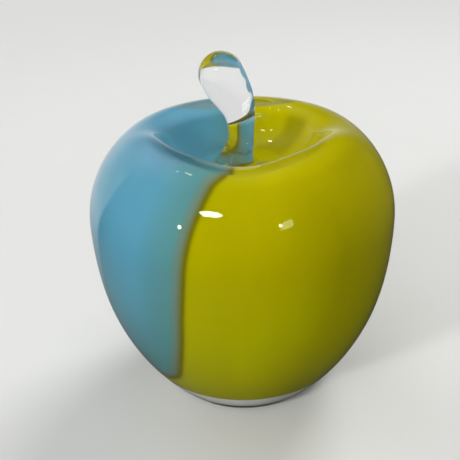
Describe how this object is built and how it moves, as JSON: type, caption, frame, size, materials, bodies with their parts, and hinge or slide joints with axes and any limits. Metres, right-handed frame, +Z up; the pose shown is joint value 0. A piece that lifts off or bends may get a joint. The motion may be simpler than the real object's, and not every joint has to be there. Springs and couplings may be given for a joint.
{
  "type": "art glass apple",
  "caption": "Ornamental glass apple with a clear casing over yellow-green and blue glass, a dimpled top and a clear drop-shaped stem; stands on a ground foot.",
  "frame": {"origin": "centre of the ground foot, on the surface that the apple stands on", "axes": "+Z up along the axis of the body; the front is towards -Y, with the blue panel on the -X side; the stem's head leans towards -X"},
  "size_m": [0.1, 0.1, 0.116],
  "materials": {
    "clear_casing_glass": "fire-polished, clear",
    "yellow_green_glass": "opaque coloured glass",
    "blue_glass": "opaque coloured glass",
    "opal_white_glass": "opal white glass",
    "seal_glass": "clear, ground and polished",
    "stem_glass": "fire-polished, clear"
  },
  "bodies": {
    "root": {"clear_casing": "clear_casing_glass", "yellow_overlay": "yellow_green_glass", "blue_overlay": "blue_glass", "white_lining": "opal_white_glass", "base_seal": "seal_glass", "stem": "stem_glass"}
  },
  "joints": []
}
